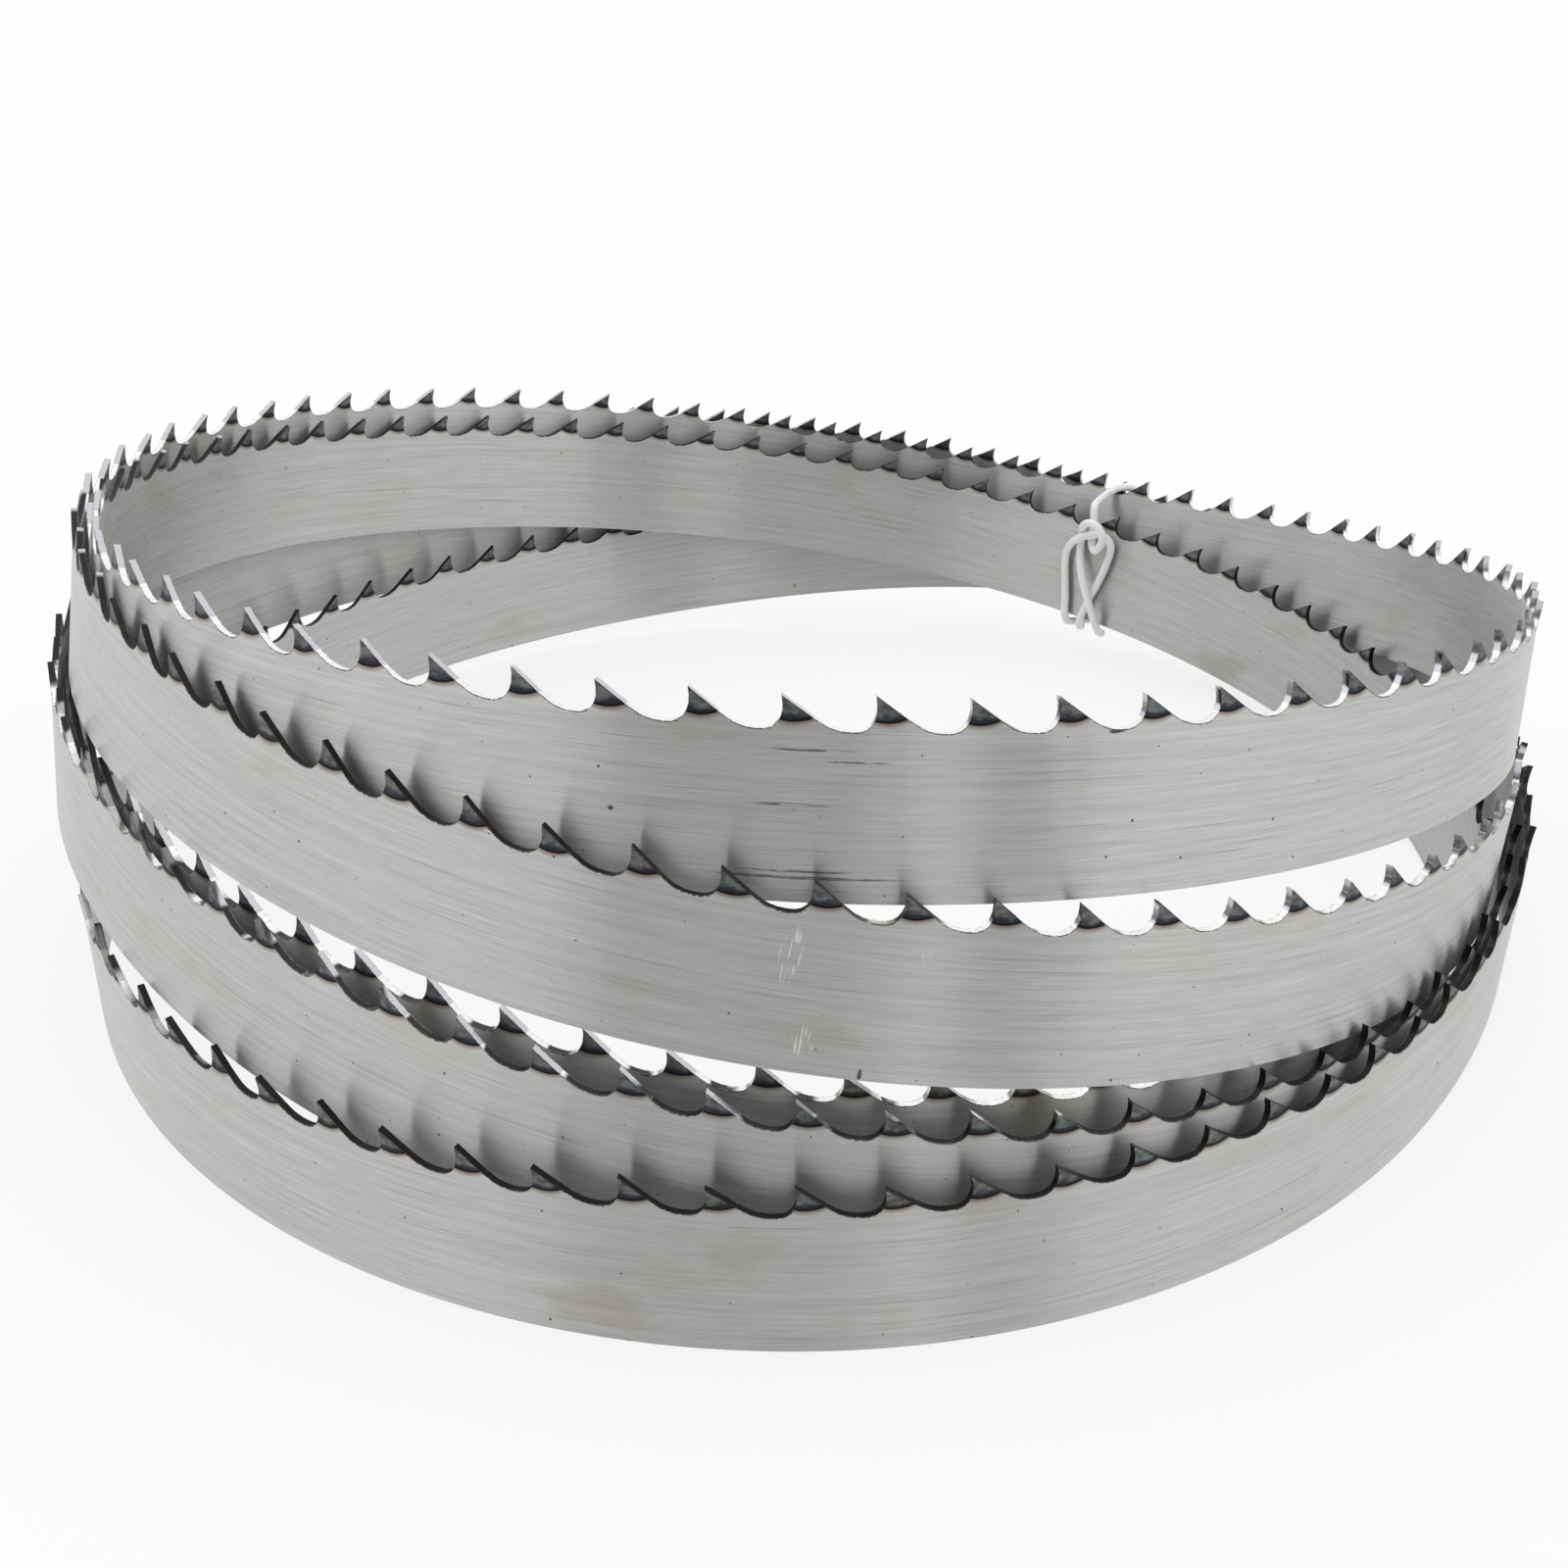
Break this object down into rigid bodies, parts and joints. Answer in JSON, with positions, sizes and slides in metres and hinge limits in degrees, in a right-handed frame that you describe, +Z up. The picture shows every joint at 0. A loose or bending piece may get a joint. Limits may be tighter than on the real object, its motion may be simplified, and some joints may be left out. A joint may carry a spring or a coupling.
{
  "type": "band saw blade",
  "caption": "Endless toothed steel band for a band saw, folded into a stack of ring-like loops and held by a twisted white plastic-coated wire.",
  "frame": {"origin": "centre of the bounding box, at the floor the lowest loop stands on", "axes": "+Z up, the way the teeth point; +X to the right and +Y to the back, as seen from the picture's side"},
  "size_m": [0.2018, 0.2144, 0.0664],
  "materials": {
    "band_steel": "rolled spring steel, brushed lengthwise, with dark heat-hardened tooth tips",
    "wire_coat": "soft white plastic coat"
  },
  "bodies": {
    "root": {"blade": "band_steel", "tie_wire": "wire_coat"}
  },
  "joints": []
}
